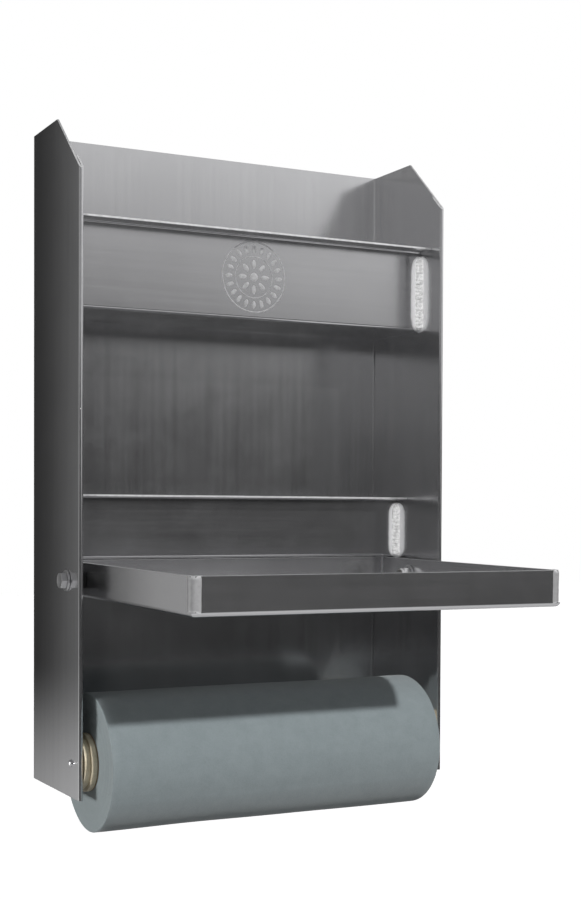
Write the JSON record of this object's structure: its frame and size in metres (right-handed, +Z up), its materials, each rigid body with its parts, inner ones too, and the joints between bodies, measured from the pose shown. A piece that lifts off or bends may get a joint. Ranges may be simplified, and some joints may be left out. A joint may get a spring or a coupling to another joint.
{
  "type": "wall-mounted garage organiser",
  "caption": "Welded sheet aluminium wall cabinet with open bottle bins, a tray that folds up on side pivots, and a sprung rod that carries a roll of paper towel.",
  "frame": {"origin": "centre of the cabinet's rear face, which lies against the wall", "axes": "+X to the right for someone who faces the cabinet, +Y into the wall, +Z up"},
  "size_m": [0.3334, 0.2777, 0.5407],
  "materials": {
    "aluminium_sheet": "bare mill finish, satin",
    "weld_bead": "bright rippled weld",
    "zinc_steel": "zinc plated",
    "black_nylon": "matte",
    "natural_nylon": "satin",
    "almond_plastic": "satin moulded",
    "rod_plastic": "satin moulded",
    "spring_steel": "oiled wire",
    "cardboard": "matte",
    "towel_paper": "matte, soft"
  },
  "bodies": {
    "cabinet": {"cabinet_shell": "aluminium_sheet", "top_bin": "aluminium_sheet", "mid_bin": "aluminium_sheet", "top_bin_weld_left": "weld_bead", "top_bin_weld_right": "weld_bead", "mid_bin_weld_left": "weld_bead", "mid_bin_weld_right": "weld_bead", "pivot_bolt_left": "zinc_steel", "outer_washer_left": "zinc_steel", "pivot_spacer_left": "black_nylon", "inner_washer_left": "zinc_steel", "lock_nut_left": "zinc_steel", "nut_insert_left": "natural_nylon", "pivot_bolt_right": "zinc_steel", "outer_washer_right": "zinc_steel", "pivot_spacer_right": "black_nylon", "inner_washer_right": "zinc_steel", "lock_nut_right": "zinc_steel", "nut_insert_right": "natural_nylon"},
    "tray": {"tray_pan": "aluminium_sheet", "tray_weld_front_left": "weld_bead", "tray_weld_front_right": "weld_bead", "tray_weld_back_left": "weld_bead", "tray_weld_back_right": "weld_bead"},
    "towel_roll": {"paper_towel_roll": "towel_paper", "cardboard_core": "cardboard", "rod_outer_tube": "rod_plastic", "rod_hub_left": "almond_plastic", "rod_pin_left": "zinc_steel", "rod_spring": "spring_steel"},
    "rod_plunger": {"rod_inner_tube": "rod_plastic", "rod_hub_right": "almond_plastic", "rod_pin_right": "zinc_steel"}
  },
  "joints": [
    {"name": "tray_fold", "type": "hinge", "parent": "cabinet", "child": "tray", "pos_m": [0, -0.0815, -0.0943], "axis": [-1, 0, 0], "range_deg": [0, 99.5]},
    {"name": "roll_spin", "type": "hinge", "parent": "cabinet", "child": "towel_roll", "pos_m": [0, -0.0912, -0.231], "axis": [1, 0, 0], "continuous": true},
    {"name": "plunger_slide", "type": "slide", "parent": "towel_roll", "child": "rod_plunger", "axis": [-1, 0, 0], "range_m": [0, 0.0065], "stiffness_N_per_m": 500, "springref_m": -0.012, "deforming": ["rod_spring"]}
  ]
}
